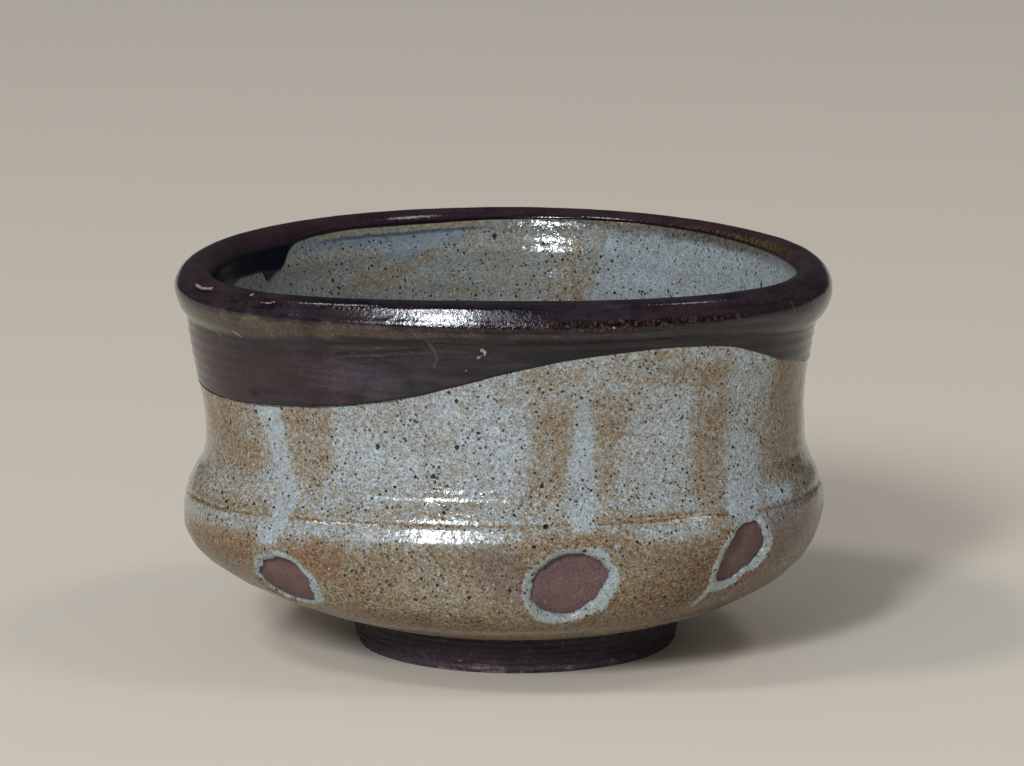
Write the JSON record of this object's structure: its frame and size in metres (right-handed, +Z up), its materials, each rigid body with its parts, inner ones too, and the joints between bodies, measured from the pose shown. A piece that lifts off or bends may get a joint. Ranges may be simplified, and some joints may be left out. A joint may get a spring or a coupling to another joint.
{
  "type": "shoe-shaped tea bowl",
  "caption": "Thrown stoneware tea bowl pressed out of round, with a turned foot, a thick folded lip, pale ash glaze and a dark iron-glazed rim.",
  "frame": {"origin": "on the table, under the middle of the bowl's box", "axes": "+Z up, +X along the bowl's width, -Y towards the pressed front wall"},
  "size_m": [0.139, 0.1296, 0.0837],
  "materials": {
    "bare_clay": "bare fired stoneware, purple-brown and matte",
    "foot_clay": "bare fired stoneware, dark and rough from turning",
    "iron_glaze": "glossy dark iron glaze, purple-brown with blue-black and olive patches",
    "ash_glaze_outside": "speckled grey ash glaze, half glossy, breaking to rust where it is thin",
    "ash_glaze_inside": "speckled blue-grey ash glaze, glossy"
  },
  "bodies": {
    "root": {"clay_body": "bare_clay", "foot_ring": "foot_clay", "rim_roll": "bare_clay", "iron_glaze_band": "iron_glaze", "ash_glaze_outer": "ash_glaze_outside", "ash_glaze_inner": "ash_glaze_inside"}
  },
  "joints": []
}
